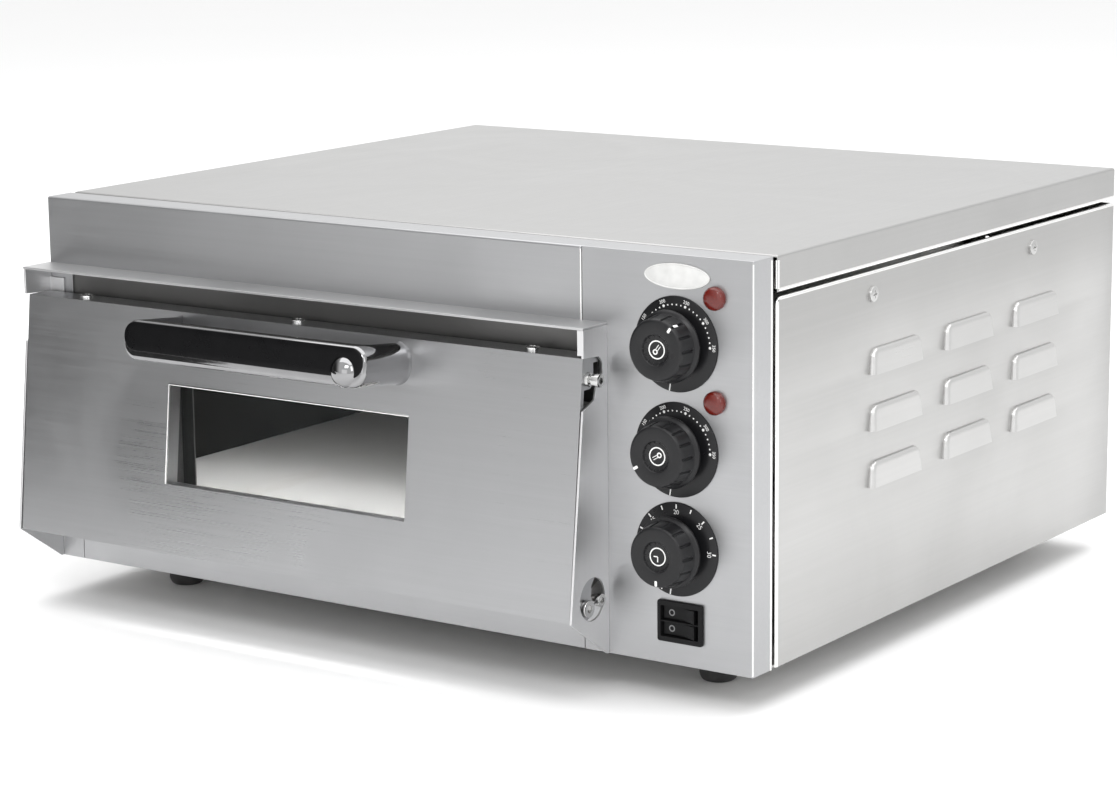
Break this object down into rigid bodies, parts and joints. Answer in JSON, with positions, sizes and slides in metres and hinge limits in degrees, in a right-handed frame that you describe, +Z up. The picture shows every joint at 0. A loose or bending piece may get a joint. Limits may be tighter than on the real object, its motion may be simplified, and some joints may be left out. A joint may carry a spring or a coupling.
{
  "type": "countertop pizza oven",
  "caption": "Countertop electric pizza oven with a stone deck, a bottom-hinged glass door and a side column of rotary controls.",
  "frame": {"origin": "centre of the whole object's box, on the surface that the feet stand on", "axes": "+X to the oven's right as seen from the front, +Y to its back, +Z up; the door faces -Y"},
  "size_m": [0.5666, 0.5754, 0.276],
  "materials": {
    "brushed_casing": "fine horizontal brushed grain, satin",
    "inner_steel": "plain rolled sheet, slightly heat tinted",
    "bright_steel": "bright machined",
    "deck_stone": "matte refractory slab, coarse",
    "heater_sheath": "dark oxidised sheath",
    "mineral_wool": "soft fibrous blanket",
    "white_plastic": "moulded, matte",
    "copper_capillary": "drawn copper",
    "black_plastic": "moulded, satin",
    "red_lens": "translucent red, glossy",
    "badge_face": "blank pale face",
    "dial_print": "black satin film with white marks",
    "foot_rubber": "matte black rubber",
    "door_glass": "clear tempered",
    "glass_fibre_seal": "braided glass fibre",
    "chrome_handle": "polished",
    "grip_bakelite": "glossy black",
    "knob_plastic": "moulded dark grey, satin"
  },
  "bodies": {
    "cabinet": {"base_pan": "inner_steel", "front_fascia": "brushed_casing", "lower_skirt": "brushed_casing", "control_panel": "brushed_casing", "top_cover": "brushed_casing", "side_panel_right": "brushed_casing", "side_panel_left": "brushed_casing", "rear_panel": "brushed_casing", "hood_ledge": "brushed_casing", "cheek_right": "brushed_casing", "cheek_left": "brushed_casing", "hinge_brackets": "inner_steel", "pivot_bolts": "bright_steel", "stop_bolts": "bright_steel", "mouth_frame": "inner_steel", "chamber_liner": "inner_steel", "partition": "inner_steel", "deck_stone": "deck_stone", "deck_rails": "inner_steel", "upper_heaters": "heater_sheath", "lower_heaters": "heater_sheath", "insulation_top": "mineral_wool", "insulation_bottom": "mineral_wool", "insulation_sides": "mineral_wool", "insulation_rear": "mineral_wool", "thermostat_bodies": "white_plastic", "thermostat_probes": "copper_capillary", "timer_body": "white_plastic", "terminal_block": "white_plastic", "cable_gland": "black_plastic", "lamp_lenses": "red_lens", "lamp_bodies": "white_plastic", "switch_housing": "black_plastic", "badge_plate": "badge_face", "dial_rings": "dial_print", "rubber_feet": "foot_rubber", "foot_screws": "bright_steel", "panel_screws": "bright_steel"},
    "door": {"door_outer_panel": "brushed_casing", "door_inner_liner": "inner_steel", "door_insulation": "mineral_wool", "window_frame": "brushed_casing", "window_glass": "door_glass", "door_seal": "glass_fibre_seal", "handle_bow": "chrome_handle", "handle_grip": "grip_bakelite", "handle_stud": "chrome_handle", "handle_screws": "bright_steel", "latch_pin": "bright_steel", "door_screws": "bright_steel"},
    "upper_knob": {"knob_upper": "knob_plastic", "spindle_upper": "bright_steel"},
    "lower_knob": {"knob_lower": "knob_plastic", "spindle_lower": "bright_steel"},
    "timer_knob": {"knob_timer": "knob_plastic", "spindle_timer": "bright_steel"},
    "upper_rocker": {"rocker_upper": "black_plastic"},
    "lower_rocker": {"rocker_lower": "black_plastic"}
  },
  "joints": [
    {"name": "door_hinge", "type": "hinge", "parent": "cabinet", "child": "door", "pos_m": [-0.052, -0.23334, 0.058], "axis": [1, 0, 0], "range_deg": [0, 90]},
    {"name": "upper_knob_turn", "type": "hinge", "parent": "cabinet", "child": "upper_knob", "pos_m": [0.22625, -0.22284, 0.2223], "axis": [0, 1, 0], "range_deg": [-218, 52]},
    {"name": "lower_knob_turn", "type": "hinge", "parent": "cabinet", "child": "lower_knob", "pos_m": [0.22625, -0.22284, 0.1583], "axis": [0, 1, 0], "range_deg": [-60, 210]},
    {"name": "timer_knob_turn", "type": "hinge", "parent": "cabinet", "child": "timer_knob", "pos_m": [0.22625, -0.22284, 0.0972], "axis": [0, 1, 0], "range_deg": [0, 270]},
    {"name": "upper_rocker_tilt", "type": "hinge", "parent": "cabinet", "child": "upper_rocker", "pos_m": [0.22875, -0.20584, 0.057], "axis": [0, 0, 1], "range_deg": [0, 18]},
    {"name": "lower_rocker_tilt", "type": "hinge", "parent": "cabinet", "child": "lower_rocker", "pos_m": [0.22875, -0.20584, 0.047], "axis": [0, 0, 1], "range_deg": [0, 18]}
  ]
}
